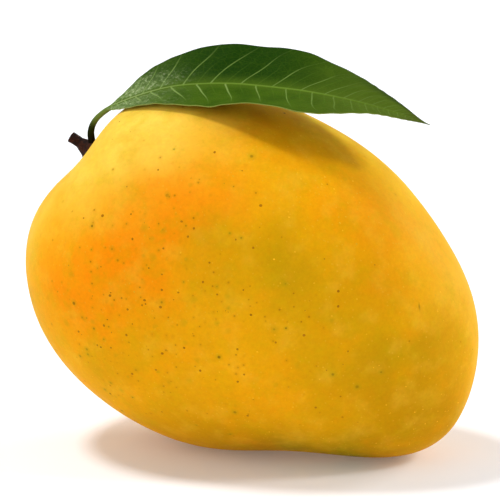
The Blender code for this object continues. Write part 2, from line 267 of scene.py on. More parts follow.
class Tree:
    """A node tree written as formulas: every call adds a node and gives back its output."""

    NUMBER_RESULTS = ("LENGTH", "DISTANCE", "DOT_PRODUCT")

    def __init__(self, node_tree):
        self.nodes = node_tree.nodes
        self.links = node_tree.links

    def feed(self, socket, value):
        if isinstance(value, Wire):
            self.links.new(value.socket, socket)
        else:
            socket.default_value = value

    def node(self, kind, output=0, inputs=None, **settings):
        """Adds a node and gives the wire of one output. inputs are by socket name or number."""
        added = self.nodes.new(kind)
        for name, value in settings.items():
            setattr(added, name, value)
        for name, value in (inputs or {}).items():
            self.feed(added.inputs[name], value)
        return Wire(self, added.outputs[output])

    def math(self, operation, *values):
        inputs = dict(enumerate(values))
        return self.node("ShaderNodeMath", inputs=inputs, operation=operation)

    def vector(self, operation, *values):
        output = 1 if operation in self.NUMBER_RESULTS else 0
        inputs = dict(enumerate(values))
        return self.node("ShaderNodeVectorMath", output, inputs, operation=operation)

    def scaled(self, vector, factor):
        inputs = {0: vector, "Scale": factor}
        return self.node("ShaderNodeVectorMath", inputs=inputs, operation="SCALE")

    def split(self, vector):
        parts = self.node("ShaderNodeSeparateXYZ", inputs={0: vector}).socket.node
        return [Wire(self, socket) for socket in parts.outputs]

    def join(self, x, y, z):
        return self.node("ShaderNodeCombineXYZ", inputs={0: x, 1: y, 2: z})

    def bell(self, distance, spread):
        """1 where the distance is 0, falling smoothly to nothing past the spread."""
        away = distance / spread
        return self.math("EXPONENT", -(away * away))

    def ramp(self, value, low, high):
        """Runs smoothly from 0 at the low value to 1 at the high one."""
        inputs = {0: value, 1: low, 2: high}
        return self.node("ShaderNodeMapRange", inputs=inputs, interpolation_type="SMOOTHSTEP")

    def noise(self, place, size, detail=2.0, roughness=0.5):
        """Noise from 0 to 1 with lumps about this far apart, in metres."""
        inputs = {"Vector": place, "Scale": 1.0 / size, "Detail": detail, "Roughness": roughness}
        return self.node("ShaderNodeTexNoise", inputs=inputs)

    def random_number(self, span, seed):
        """A number for every point, between the two ends of the span."""
        inputs = {2: span[0], 3: span[1], "Seed": seed}
        return self.node("FunctionNodeRandomValue", 1, inputs, data_type="FLOAT")

    def blend(self, factor, first, second, kind="MIX"):
        """Mixes two colours, or wires of colours."""
        inputs = {0: factor, 6: first, 7: second}
        settings = {"data_type": "RGBA", "blend_type": kind}
        return self.node("ShaderNodeMix", 2, inputs, **settings)


# Node groups and the meshes that they make


def new_geometry_tree(name, inputs):
    """An empty tree with these named inputs. Gives the tree, its data and a wire for each."""
    group = bpy.data.node_groups.new(name, "GeometryNodeTree")
    group.interface.new_socket("Geometry", in_out="INPUT", socket_type="NodeSocketGeometry")
    group.interface.new_socket("Geometry", in_out="OUTPUT", socket_type="NodeSocketGeometry")
    for label, value in inputs.items():
        kind = "NodeSocketInt" if isinstance(value, int) else "NodeSocketFloat"
        group.interface.new_socket(label, in_out="INPUT", socket_type=kind)
    tree = Tree(group)
    sockets = group.nodes.new("NodeGroupInput").outputs
    return tree, group, {socket.name: Wire(tree, socket) for socket in sockets if socket.name}


def end_geometry_tree(tree, geometry, material):
    """The last nodes of every tree: realized instances with smooth shading and a material."""
    real = tree.node("GeometryNodeRealizeInstances", inputs={0: geometry})
    smooth = tree.node("GeometryNodeSetShadeSmooth", inputs={0: real})
    inputs = {"Geometry": smooth, "Material": material}
    painted = tree.node("GeometryNodeSetMaterial", inputs=inputs)
    output = tree.nodes.new("NodeGroupOutput")
    tree.feed(output.inputs[0], painted)


def mesh_from_tree(name, data, group, inputs, material):
    """Runs a tree on the data and keeps the plain mesh that it makes as a new piece."""
    source = bpy.data.objects.new(name + "_source", data)
    bpy.context.scene.collection.objects.link(source)
    modifier = source.modifiers.new(name, "NODES")
    modifier.node_group = group
    for item in group.interface.items_tree:
        if item.in_out == "INPUT" and item.name in inputs:
            modifier[item.identifier] = inputs[item.name]
    bpy.context.view_layer.update()
    seen = source.evaluated_get(bpy.context.evaluated_depsgraph_get())
    mesh = bpy.data.meshes.new_from_object(seen)
    mesh.name = name
    bpy.data.objects.remove(source, do_unlink=True)
    mesh.materials.clear()
    mesh.materials.append(material)
    return add_piece(name, mesh)


def add_piece(name, mesh):
    piece = bpy.data.objects.new(name, mesh)
    bpy.context.scene.collection.objects.link(piece)
    return piece


# Fruit


def fruit_outline(tree, wires, angle, fade):
    """Distance from the fruit's middle to its skin at an angle, seen from the broad side."""
    turned = angle - wires["Tilt"]
    along = tree.math("COSINE", turned) / wires["Half length"]
    up = tree.math("SINE", turned) / wires["Half height"]
    radius = 1.0 / tree.math("SQRT", along * along + up * up)
    for centre, spread, height in SWELLS.values():
        away = tree.math("WRAP", angle - math.radians(centre), math.pi, -math.pi)
        radius = radius + fade * height * tree.bell(away, math.radians(spread))
    return radius


def fruit_tree(material):
    """A cube cut into squares, rounded to a ball and then drawn out to the skin."""
    sizes = {
        "Segments": FRUIT_SEGMENTS,
        "Half length": FRUIT_HALF_LENGTH,
        "Half height": FRUIT_HALF_HEIGHT,
        "Half thickness": FRUIT_HALF_THICKNESS,
        "Tilt": FRUIT_TILT,
        "Middle height": FRUIT_MIDDLE_HEIGHT,
        "Taper": FRUIT_TAPER,
        "Fullness": SECTION_FULLNESS,
        "Inset": FRUIT_INSET,
        "Undulation": UNDULATION,
        "Undulation size": UNDULATION_SIZE,
    }
    tree, group, wires = new_geometry_tree("mango fruit", sizes)
    edge = wires["Segments"] + 1
    cube = tree.node("GeometryNodeMeshCube", inputs={0: (2.0, 2.0, 2.0), 1: edge, 2: edge, 3: edge})
    place = tree.node("GeometryNodeInputPosition")
    evened = [tree.math("TANGENT", side * (math.pi / 4.0)) for side in tree.split(place)]
    way = tree.vector("NORMALIZE", tree.join(*evened))
    x, y, z = tree.split(way)
    angle = tree.math("ARCTAN2", z, x)
    broad = tree.math("SQRT", x * x + z * z)
    bend = 2.0 / wires["Fullness"]
    reach = fruit_outline(tree, wires, angle, broad * broad) * broad**bend
    skin_x = reach * tree.math("COSINE", angle)
    skin_z = reach * tree.math("SINE", angle)
    tilt = wires["Tilt"]
    lengthways = skin_x * tree.math("COSINE", tilt) + skin_z * tree.math("SINE", tilt)
    thinned = 1.0 - wires["Taper"] * lengthways / wires["Half length"]
    side = tree.math("SIGN", y) * tree.math("ABSOLUTE", y) ** bend
    skin_y = wires["Half thickness"] * thinned * side
    skin = tree.join(skin_x, skin_y, skin_z + wires["Middle height"])
    away = tree.vector("DISTANCE", skin, PIT_CENTRE)
    pit = tree.scaled(PIT_INWARD, PIT_DEPTH * tree.bell(away, PIT_RADIUS))
    lumps = tree.noise(skin, wires["Undulation size"], detail=1.0) - 0.5
    outwards = tree.scaled(way, lumps * wires["Undulation"] - wires["Inset"])
    formed = tree.vector("ADD", tree.vector("ADD", skin, pit), outwards)
    resting = tree.vector("MAXIMUM", formed, (-1.0, -1.0, 0.0))
    fruit = tree.node("GeometryNodeSetPosition", inputs={"Geometry": cube, "Position": resting})
    end_geometry_tree(tree, fruit, material)
    return group, sizes


def lenticel_tree(name, sizes, material, share_of_place):
    """Low domes scattered over the skin, thicker where share_of_place says."""
    tree, group, wires = new_geometry_tree(name, sizes)
    place = tree.node("GeometryNodeInputPosition")
    density = wires["Density"] * share_of_place(tree, place)
    inputs = {"Mesh": wires["Geometry"], "Density": density, "Seed": wires["Seed"]}
    points = tree.node("GeometryNodeDistributePointsOnFaces", inputs=inputs)
    normal = Wire(tree, points.socket.node.outputs["Normal"])
    inputs = {"Rotation": (0.0, 0.0, 0.0), "Vector": normal}
    turned = tree.node("FunctionNodeAlignRotationToVector", inputs=inputs, axis="Z")
    dome = tree.node("GeometryNodeMeshIcoSphere", inputs={"Radius": wires["Radius"], 1: 2})
    grown = tree.random_number(LENTICEL_GROWTH, wires["Seed"])
    longer = tree.random_number(LENTICEL_STRETCH, LENTICEL_STRETCH_SEED)
    scale = tree.join(grown * longer, grown, grown * wires["Flatness"])
    inputs = {"Points": points, "Instance": dome, "Rotation": turned, "Scale": scale}
    domes = tree.node("GeometryNodeInstanceOnPoints", inputs=inputs)
    end_geometry_tree(tree, domes, material)
    return group


def dark_share(tree, place):
    """Dark lenticels: thickest low on the stem half of both broad sides, few elsewhere."""
    x, y, z = tree.split(place)
    folded = tree.join(x, tree.math("ABSOLUTE", y), z)
    patches = []
    for centre, spread in DARK_PATCHES:
        patches.append(tree.bell(tree.vector("DISTANCE", folded, centre), spread))
    low, high, right = patches
    thick = low + DARK_OUTER_SHARE * high
    share = DARK_LEAST_SHARE + thick + DARK_OUTER_SHARE * right
    return share * tree.ramp(z, *CLEAR_OF_REST)


def pale_share(tree, place):
    """Pale lenticels: thickest on the beak half."""
    x, _, z = tree.split(place)
    share = PALE_LEAST_SHARE + tree.ramp(x, *PALE_THICKENING)
    return share * tree.ramp(z, *CLEAR_OF_REST)


# Materials


def new_finish(name, **sockets):
    """A material with this shader's own sockets set. Gives the material, its tree and shader."""
    material = bpy.data.materials.new(name)
    material.use_nodes = True
    shader = material.node_tree.nodes["Principled BSDF"]
    for label, value in sockets.items():
        shader.inputs[label.replace("_", " ")].default_value = value
    return material, Tree(material.node_tree), shader


def object_place(tree):
    return Wire(tree, tree.nodes.new("ShaderNodeTexCoord").outputs["Object"])


def bump(tree, shader, height, distance, strength=1.0):
    inputs = {"Height": height, "Distance": distance, "Strength": strength}
    tree.feed(shader.inputs["Normal"], tree.node("ShaderNodeBump", inputs=inputs))


# Skin colours, and where each lies: its place, how far it spreads, both in millimetres, how much
AMBER = (0.80, 0.370, 0.0030, 1.0)
# Lemon: the pale shoulder's own colour, also used for a painted highlight on the shoulder and
# painted rim light at the right end
LEMON_AND_PAINTED_LIGHT = (0.92, 0.61, 0.075, 1.0)
# Gold paints rim light
GOLD_RIM_LIGHT = (0.95, 0.58, 0.018, 1.0)
ORANGE = (0.90, 0.250, 0.0015, 1.0)
OLIVE = (0.52, 0.300, 0.0015, 1.0)
# Moss: a green tinge, and at the very bottom painted shade where the skin meets the floor
MOSS_AND_SHADE = (0.30, 0.220, 0.0020, 1.0)
# Umber paints the leaf's shadow on the skin
UMBER_LEAF_SHADOW = (0.60, 0.215, 0.0010, 1.0)
# Deep amber paints shade
SHADE_AMBER = (0.50, 0.235, 0.0015, 1.0)
SKIN_ZONES = [
    # Pale shoulder near the stem, its brightest part a painted highlight
    (LEMON_AND_PAINTED_LIGHT, [((-22, -21, 90), 20, 1.00), ((-38, -23, 76), 14, 0.75), ((-6, -20, 90), 12, 0.5)]),
    # Pale patches at the left edge and behind
    (LEMON_AND_PAINTED_LIGHT, [((-54, -20, 62), 10, 0.45), ((-30, 20, 86), 27, 0.9), ((20, 16, 80), 18, 0.3)]),
    # Painted rim light at the right end's upper edge
    (LEMON_AND_PAINTED_LIGHT, [((59, -6, 45), 14, 0.22), ((51, -9, 60), 14, 0.15)]),
    # Painted rim light along the upper edge below the leaf's right half
    (GOLD_RIM_LIGHT, [((19, 2, 89), 6, 0.9), ((27, 1, 85), 6, 0.9),
            ((35, 1, 79), 6, 0.7), ((43, 1, 72), 6, 0.5)]),
    # Painted shadow under the leaf's right half, near the upper edge
    (SHADE_AMBER, [((20, -10, 86), 6, 0.4), ((27, -13, 82), 7, 0.5), ((34, -15, 76), 7, 0.3)]),
    (ORANGE, [((-2, -34, 72), 11, 0.7), ((-8, -36, 67), 13, 0.9), ((-18, -38, 59), 13, 0.85)]),
    (ORANGE, [((-28, -37, 54), 13, 0.85), ((-36, -35, 47), 13, 0.85), ((-42, -31, 40), 9, 0.4)]),
    (ORANGE, [((36, -23, 67), 9, 0.50), ((31, -26, 71), 8, 0.40), ((40, -22, 57), 9, 0.5)]),
    (ORANGE, [((16, -33, 22), 11, 0.3), ((-18, 36, 60), 26, 0.8), ((18, 37, 50), 15, 0.4)]),
    # Painted shadow of the leaf on the top of the skin
    (UMBER_LEAF_SHADOW, [((8, -16, 91), 9, 0.75), ((17, -18, 86), 8, 0.6), ((-2, -14, 94), 8, 0.5)]),
    (OLIVE, [((17, -35, 58), 11, 0.5), ((9, -36, 62), 9, 0.5), ((5, -37, 55), 8, 0.45)]),
    (OLIVE, [((30, -33, 43), 13, 0.6), ((36, -31, 48), 10, 0.4), ((41, -28, 36), 10, 0.5)]),
    (OLIVE, [((31, -30, 26), 12, 0.55), ((44, -24, 20), 11, 0.6), ((29, -21, 6), 15, 0.6)]),
    (OLIVE, [((3, -22, 6), 15, 0.5), ((36, 28, 36), 20, 0.5), ((-10, 30, 24), 16, 0.3)]),
    # Painted shade low on the front, on the bottom, by the beak and on the right side
    (SHADE_AMBER, [((-26, -33, 26), 14, 0.45), ((-5, -30, 12), 18, 0.65), ((36, -28, 22), 14, 0.4)]),
    (SHADE_AMBER, [((50, -17, 16), 14, 1.00), ((41, -14, 6), 15, 0.95), ((15, -20, 2), 13, 0.95)]),
    (SHADE_AMBER, [((36, -24, 64), 10, 0.25), ((19, -34, 62), 10, 0.15), ((-12, -37, 34), 12, 0.2)]),
    (SHADE_AMBER, [((54, -15, 32), 15, 0.50), ((44, -25, 30), 11, 0.35), ((40, -25, 48), 12, 0.25)]),
    (MOSS_AND_SHADE, [((2, -36, 66), 5, 0.20), ((20, -35, 56), 6, 0.20), ((53, -20, 31), 6, 0.22)]),
    # The last two spots, at the very bottom, are painted contact shade
    (MOSS_AND_SHADE, [((44, -26, 33), 8, 0.20), ((21, -20, 5), 7, 0.75), ((31, -18, 2), 8, 1.00)]),
]

# Speckles: how far apart, the most of them, their radius, all in millimetres, halo and middle
SPECKLES = [
    (2.8, 0.42, 0.36, (0.36, 0.270, 0.006, 1.0), (0.15, 0.080, 0.002, 1.0)),
    (1.8, 0.85, 0.22, (0.60, 0.240, 0.002, 1.0), (0.34, 0.120, 0.001, 1.0)),
]

# A healed scratch near the beak: where it is, how wide and how long, in millimetres
SCRATCH = ((50.4, -20.8, 44.9), 0.22, 1.3)
SCRATCH_BROWN = (0.13, 0.060, 0.008, 1.0)

# Colours of the skin's patches and pores, of the lenticels, of the bark and of its cut end
MOTTLE_OLIVE = (0.54, 0.34, 0.0020, 1.0)
WARM_ORANGE = (0.92, 0.32, 0.0020, 1.0)
TAN = (0.84, 0.47, 0.030, 1.0)
PORE_YELLOW = (0.80, 0.46, 0.05, 1.0)
DARK_CORK = (0.40, 0.150, 0.002, 1.0)
PALE_CORK = (0.80, 0.43, 0.015, 1.0)
BARK_BLACK = (0.010, 0.003, 0.0015, 1.0)
BARK_BROWN = (0.042, 0.010, 0.003, 1.0)
BARK_FIBRE = (0.10, 0.036, 0.012, 1.0)
BARK_FOOT_RED = (0.050, 0.006, 0.003, 1.0)
CUT_BROWN = (0.10, 0.055, 0.040, 1.0)
CUT_GREY = (0.24, 0.17, 0.13, 1.0)

# Colours of the leaf
LEAF_GREEN = (0.028, 0.070, 0.0010, 1.0)
LEAF_LIGHT_GREEN = (0.046, 0.098, 0.0030, 1.0)
# This deep green paints shade on the back half
BACK_HALF_SHADE_GREEN = (0.0065, 0.034, 0.0001, 1.0)
NEAR_RIB_GREEN = (0.066, 0.122, 0.0070, 1.0)
TIP_GREEN = (0.080, 0.118, 0.0110, 1.0)
FINE_NET = (0.090, 0.160, 0.008, 1.0)
COARSE_NET = (0.100, 0.180, 0.010, 1.0)
MINOR_VEIN = (0.110, 0.200, 0.020, 1.0)
SIDE_VEIN = (0.160, 0.250, 0.050, 1.0)
BOLD_VEIN = (0.220, 0.320, 0.085, 1.0)
# Painted sheen and painted glints near the stalk
PAINTED_SHEEN = (0.270, 0.365, 0.140, 1.0)
GLINT = (0.46, 0.53, 0.28, 1.0)
FRONT_MARGIN = (0.30, 0.33, 0.070, 1.0)
BACK_MARGIN = (0.012, 0.026, 0.002, 1.0)
RIDGE = (0.125, 0.210, 0.022, 1.0)
RIDGE_AT_BASE = (0.25, 0.33, 0.11, 1.0)
BACK_EDGE = (0.018, 0.034, 0.006, 1.0)
DRY_TIP = (0.050, 0.052, 0.008, 1.0)
STALK_FOOT = (0.008, 0.005, 0.002, 1.0)
STALK_MIDDLE = (0.014, 0.020, 0.002, 1.0)
STALK_NECK = (0.130, 0.185, 0.035, 1.0)


def zone_share(tree, place, spots):
    """How much of a colour lies at a place, from the spots that it spreads from."""
    share = None
    for centre, spread, most in spots:
        away = tree.vector("DISTANCE", place, Vector(centre) * MM)
        one = most * tree.bell(away, spread * MM)
        share = one if share is None else tree.math("MAXIMUM", share, one)
    return share


def skin_finish():
    """Waxy skin: amber with a pale shoulder, an orange blush, green tinges and fine pores, with a
    painted highlight on the shoulder, painted rim light at the upper right, painted shadow under
    the leaf and painted shade low down.
    """
    sockets = {
        "Subsurface_Weight": 0.20,
        "Subsurface_Radius": (1.0, 0.45, 0.08),
        "Subsurface_Scale": 2.0 * MM,
        "Specular_IOR_Level": 0.05,
        "IOR": 1.25,
    }
    material, tree, shader = new_finish("mango skin", **sockets)
    place = object_place(tree)
    inputs = {"Vector": place, "Scale": 1.0 / (15.0 * MM), "Detail": 3.0, "Roughness": 0.5}
    drift = tree.node("ShaderNodeTexNoise", 1, inputs)
    drift = tree.scaled(tree.vector("SUBTRACT", drift, (0.5, 0.5, 0.5)), 22.0 * MM)
    wandering = tree.vector("ADD", place, drift)
    colour = AMBER
    for tone, spots in SKIN_ZONES:
        colour = tree.blend(zone_share(tree, wandering, spots), colour, tone)
    mottle = tree.ramp(tree.noise(place, 7.0 * MM, detail=5.0, roughness=0.6), 0.45, 0.70)
    colour = tree.blend(mottle * 0.34, colour, MOTTLE_OLIVE)
    warm = tree.ramp(tree.noise(place, 9.0 * MM, detail=3.0), 0.48, 0.78)
    colour = tree.blend(warm * 0.26, colour, WARM_ORANGE)
    elsewhere = tree.vector("ADD", place, (0.05, 0.02, 0.01))
    tan = tree.ramp(tree.noise(elsewhere, 6.0 * MM, detail=5.0), 0.46, 0.78)
    colour = tree.blend(tan * 0.34, colour, TAN)
    grain = tree.noise(place, 0.8 * MM, detail=3.0, roughness=0.7)
    green = tree.noise(tree.vector("ADD", place, (0.02, 0.05, 0.03)), 1.6 * MM, 4.0, 0.6)
    shade = 0.88 + 0.24 * grain
    greener = shade * (0.89 + 0.22 * green)
    colour = tree.blend(1.0, colour, tree.join(shade, greener, shade), "MULTIPLY")
    pores = tree.node("ShaderNodeTexVoronoi", 0, {"Vector": place, "Scale": 1.0 / (1.5 * MM)})
    dots = 1.0 - tree.ramp(pores, 0.06, 0.20)
    colour = tree.blend(dots * 0.30, colour, PORE_YELLOW)
    colour = with_speckles(tree, place, colour)
    tree.feed(shader.inputs["Base Color"], colour)
    wax = tree.noise(place, 11.0 * MM, detail=3.0)
    tree.feed(shader.inputs["Roughness"], 0.40 + 0.14 * wax + 0.06 * grain)
    peel = tree.noise(place, 1.3 * MM, detail=2.0) + 0.3 * dots
    bump(tree, shader, peel, 0.05 * MM, 0.5)
    return material


def with_speckles(tree, place, colour):
    """Fine olive speckles, each in a faint greenish halo, and one healed scratch."""
    share = dark_share(tree, place)
    for size, most, reach, ring, core in SPECKLES:
        inputs = {"Vector": place, "Scale": 1.0 / (size * MM)}
        cells = tree.node("ShaderNodeTexVoronoi", 0, inputs)
        chance = tree.split(Wire(tree, cells.socket.node.outputs["Color"]))
        present = tree.math("LESS_THAN", chance[0], most * share)
        away = cells / (reach * (0.6 + 0.9 * chance[1]) / size)
        halo = (1.0 - tree.ramp(away, 0.8, 3.2)) * present
        speckle = (1.0 - tree.ramp(away, 0.6, 1.15)) * present * (0.35 + 0.5 * chance[2])
        colour = tree.blend(halo * 0.30, colour, ring)
        colour = tree.blend(speckle, colour, core)
    centre, wide, long = SCRATCH
    away = tree.vector("SUBTRACT", place, Vector(centre) * MM)
    stretch = (1.0 / (wide * MM), 1.0 / (wide * MM), 1.0 / (long * MM))
    away = tree.vector("LENGTH", tree.vector("MULTIPLY", away, stretch))
    return tree.blend(tree.bell(away, 1.0) * 0.65, colour, SCRATCH_BROWN)


def speck_finish(name, colour, roughness):
    """Corky lenticels, each a little lighter or darker than the next."""
    material, tree, shader = new_finish(name, Specular_IOR_Level=0.05)
    place = object_place(tree)
    shade = 0.6 + 0.8 * tree.noise(place, 3.0 * MM, detail=1.0)
    painted = tree.blend(1.0, colour, tree.join(shade, shade, shade), "MULTIPLY")
    tree.feed(shader.inputs["Base Color"], painted)
    tree.feed(shader.inputs["Roughness"], roughness + 0.1 * tree.noise(place, 0.4 * MM))
    return material


def bark_finish():
    """Dry dark stem: reddish at its foot, fissured along its length, greyish where it was cut."""
    material, tree, shader = new_finish("stem bark", Specular_IOR_Level=0.12)
    place = object_place(tree)
    along = tree.node("ShaderNodeAttribute", 2, attribute_name="along")
    cut = tree.node("ShaderNodeAttribute", 2, attribute_name="cut_end")
    fibres = tree.noise(tree.vector("MULTIPLY", place, (0.45, 1.0, 0.8)), 0.45 * MM, 4.0, 0.6)
    patches = tree.noise(place, 1.4 * MM, detail=3.0)
    colour = tree.blend(tree.ramp(patches, 0.35, 0.7), BARK_BLACK, BARK_BROWN)
    colour = tree.blend(tree.ramp(fibres, 0.52, 0.75) * 0.5, colour, BARK_FIBRE)
    foot = 1.0 - tree.ramp(along, 0.15, 0.55)
    colour = tree.blend(foot * 0.55, colour, BARK_FOOT_RED)
    wood = tree.blend(tree.ramp(fibres, 0.4, 0.65), CUT_BROWN, CUT_GREY)
    colour = tree.blend(cut, colour, wood)
    tree.feed(shader.inputs["Base Color"], colour)
    tree.feed(shader.inputs["Roughness"], 0.62 + 0.3 * patches)
    bump(tree, shader, fibres, 0.12 * MM, 0.8)
    return material


def leaf_finish():
    """Leathery blade: deep green, with pale midrib, side veins, margin and a faint fine net, with
    painted shade on the back half and a painted sheen with glints near the stalk.
    """
    sockets = {"Subsurface_Weight": 0.05, "Subsurface_Radius": (0.2, 1.0, 0.1)}
    sockets.update({"Subsurface_Scale": 0.4 * MM, "Specular_IOR_Level": 0.02})
    material, tree, shader = new_finish("mango leaf", **sockets)
    place = object_place(tree)
    marks = {}
    for name in LEAF_MARKS:
        marks[name] = tree.node("ShaderNodeAttribute", 2, attribute_name=name)
    blade = tree.node("ShaderNodeAttribute", 1, attribute_name="blade_place")
    across, run, _ = tree.split(blade)
    back_half = tree.ramp(across, -1.0, 3.0)
    blotches = tree.noise(place, 6.0 * MM, detail=4.0)
    colour = leaf_green(tree, marks, run, back_half, blotches)
    net_line = net_lines(tree, marks, blade, 0.95, 0.02, 0.10)
    coarse_line = net_lines(tree, marks, blade, 0.36, 0.01, 0.05)
    colour = tree.blend(net_line * 0.08, colour, FINE_NET)
    colour = tree.blend(coarse_line * 0.08, colour, COARSE_NET)
    vein_line = 1.0 - tree.ramp(marks["vein"], 0.08, 0.27)
    colour = with_side_veins(tree, place, marks, run, back_half, vein_line, colour)
    # Painted sheen near the stalk: a pale crinkled sheen and whitish glints are painted into the
    # colour, on the back half and the front half
    sheen_back = tree.bell(run - 10.0, 10.0) * tree.ramp(across, 0.5, 1.5)
    sheen_back = sheen_back * (1.0 - 0.85 * tree.ramp(across, 3.5, 9.0))
    sheen_front = tree.bell(run - 4.0, 13.0) * (1.0 - tree.ramp(across, -1.5, -0.5))
    sheen = sheen_back + sheen_front
    crinkle = tree.noise(place, 1.2 * MM, detail=5.0, roughness=0.7)
    flecks = tree.ramp(crinkle, 0.42, 0.66)
    painted_sheen = sheen_back * (0.30 + 0.80 * flecks) + sheen_front * (0.35 + 0.65 * flecks)
    colour = tree.blend(painted_sheen * 0.85, colour, PAINTED_SHEEN)
    glints = tree.ramp(tree.noise(place, 0.8 * MM, detail=2.0), 0.57, 0.66)
    colour = tree.blend(glints * sheen * 0.60, colour, GLINT)
    colour = with_rib_and_edges(tree, marks, run, back_half, colour)
    stalk_green = tree.blend(tree.ramp(run, -10.0, -6.5), STALK_FOOT, STALK_MIDDLE)
    stalk_green = tree.blend(tree.ramp(run, -6.5, -2.0), stalk_green, STALK_NECK)
    colour = tree.blend(marks["stalk"], colour, stalk_green)
    tree.feed(shader.inputs["Base Color"], colour)
    fine = tree.noise(place, 0.8 * MM, detail=3.0)
    tree.feed(shader.inputs["Roughness"], 0.50 + 0.14 * fine + 0.10 * blotches)
    height = fine * 0.35 - net_line * 0.25 - coarse_line * 0.30 + vein_line * 0.5
    bump(tree, shader, height + flecks * sheen, 0.10 * MM, 0.7)
    return material


def leaf_green(tree, marks, run, back_half, blotches):
    """The blade's green, lighter by the midrib and at the tip, with painted shade deepest in the
    middle of the back half.
    """
    colour = tree.blend(tree.ramp(blotches, 0.3, 0.7), LEAF_GREEN, LEAF_LIGHT_GREEN)
    # Painted shade: the middle of the back half, which stands up towards the viewer, is darkened
    deep = tree.bell(run - 36.0, 26.0) * back_half
    colour = tree.blend(deep * 0.92, colour, BACK_HALF_SHADE_GREEN)
    near_rib = 1.0 - tree.ramp(marks["rib"], 0.5, 5.0)
    colour = tree.blend(near_rib * 0.55, colour, NEAR_RIB_GREEN)
    return tree.blend(tree.ramp(run, 46.0, 80.0) * 0.60, colour, TIP_GREEN)


def net_lines(tree, marks, blade, scale, low, high):
    """The lines of a net over the blade, with so many meshes to a millimetre."""
    inputs = {"Vector": blade, "Scale": scale}
    net = tree.node("ShaderNodeTexVoronoi", 0, inputs, feature="DISTANCE_TO_EDGE")
    return (1.0 - tree.ramp(net, low, high)) * (1.0 - marks["stalk"])


def with_side_veins(tree, place, marks, run, back_half, vein_line, colour):
    """Small veins, then the side veins, which fade outwards, and their bold front beginnings."""
    fading_out = 1.0 - tree.ramp(marks["out"], 0.25, 0.70)
    minor = (1.0 - tree.ramp(marks["between"], 0.05, 0.22)) * fading_out
    colour = tree.blend(minor * 0.20, colour, MINOR_VEIN)
    uneven = 0.40 + 0.9 * tree.noise(place, 3.5 * MM, detail=2.0)
    front_fades = (1.0 - back_half) * tree.ramp(marks["out"], 0.50, 0.95)
    late = 0.25 * tree.ramp(run, 30.0, 60.0)
    back_fades = back_half * tree.ramp(marks["out"] + late, 0.50, 0.98) * 0.85
    seen = vein_line * uneven * (1.0 - front_fades - back_fades)
    seen = seen * (1.0 - 0.6 * tree.ramp(run, 56.0, 74.0))
    colour = tree.blend(seen * 0.80, colour, SIDE_VEIN)
    bold = (1.0 - tree.ramp(marks["vein"], 0.12, 0.42)) * (1.0 - back_half)
    bold = bold * (1.0 - tree.ramp(marks["out"], 0.30, 0.75)) * (1.0 - tree.ramp(run, 34.0, 50.0))
    return tree.blend(bold * 0.55, colour, BOLD_VEIN)


def with_rib_and_edges(tree, marks, run, back_half, colour):
    """The two margins, the ridge of the midrib, the dark back edge and the dry tip."""
    margin = tree.ramp(marks["out"], 0.972, 0.992)
    margin_green = tree.blend(back_half, FRONT_MARGIN, BACK_MARGIN)
    colour = tree.blend(margin * 0.70, colour, margin_green)
    ridge = 1.0 - tree.ramp(marks["rib"], 0.22, 0.66)
    ridge_green = tree.blend(tree.bell(run - 8.0, 12.0), RIDGE, RIDGE_AT_BASE)
    fading = 1.0 - 0.70 * tree.ramp(run, 52.0, 84.0)
    colour = tree.blend(ridge * 0.85 * fading, colour, ridge_green)
    back_edge = back_half * tree.ramp(marks["out"], 0.55, 0.95) * tree.ramp(run, 60.0, 80.0)
    colour = tree.blend(back_edge * 0.7, colour, BACK_EDGE)
    return tree.blend(tree.ramp(run, 80.0, 90.0) * 0.65, colour, DRY_TIP)


# Stem


def stem_curve():
    """The line of the stem as a curve, with its radius at each point."""
    curve = bpy.data.curves.new("stem line", "CURVE")
    curve.dimensions = "3D"
    curve.resolution_u = 16
    spline = curve.splines.new("BEZIER")
    spline.bezier_points.add(len(STEM_POINTS) - 1)
    for knot, (place, radius) in zip(spline.bezier_points, STEM_POINTS):
        knot.co = place
        knot.radius = radius
        knot.handle_left_type = "AUTO"
        knot.handle_right_type = "AUTO"
    return curve


def stem_tree(material):
    """A tube along the stem's line with lengthwise fissures, closed where it was cut."""
    sizes = {"Rings": STEM_RINGS, "Ring points": STEM_RING_POINTS}
    sizes.update({"Bark depth": BARK_DEPTH, "Bark seed": BARK_SEED})
    tree, group, wires = new_geometry_tree("mango stem", sizes)
    inputs = {"Curve": wires["Geometry"], "Count": wires["Rings"]}
    line = tree.node("GeometryNodeResampleCurve", inputs=inputs)
    factor = tree.node("GeometryNodeSplineParameter")
    inputs = {"Geometry": line, "Name": "along", "Value": factor}
    marked = tree.node("GeometryNodeStoreNamedAttribute", inputs=inputs, data_type="FLOAT")
    inputs = {"Resolution": wires["Ring points"], "Radius": 1.0}
    ring = tree.node("GeometryNodeCurvePrimitiveCircle", inputs=inputs)
    radius = tree.node("GeometryNodeInputRadius")
    inputs = {"Curve": marked, "Profile Curve": ring, "Scale": radius, "Fill Caps": True}
    tube = tree.node("GeometryNodeCurveToMesh", inputs=inputs)
    place = tree.node("GeometryNodeInputPosition")
    inputs = {"Vector": tree.vector("MULTIPLY", place, BARK_SQUEEZE), "Scale": 1.0 / BARK_SIZE}
    inputs.update({"W": wires["Bark seed"], "Detail": 3.0})
    fissures = tree.node("ShaderNodeTexNoise", inputs=inputs, noise_dimensions="4D")
    normal = tree.node("GeometryNodeInputNormal")
    outwards = tree.scaled(normal, (fissures - BARK_LEVEL) * 2.0 * wires["Bark depth"])
    rough = tree.node("GeometryNodeSetPosition", inputs={"Geometry": tube, "Offset": outwards})
    end_geometry_tree(tree, rough, material)
    return group, sizes


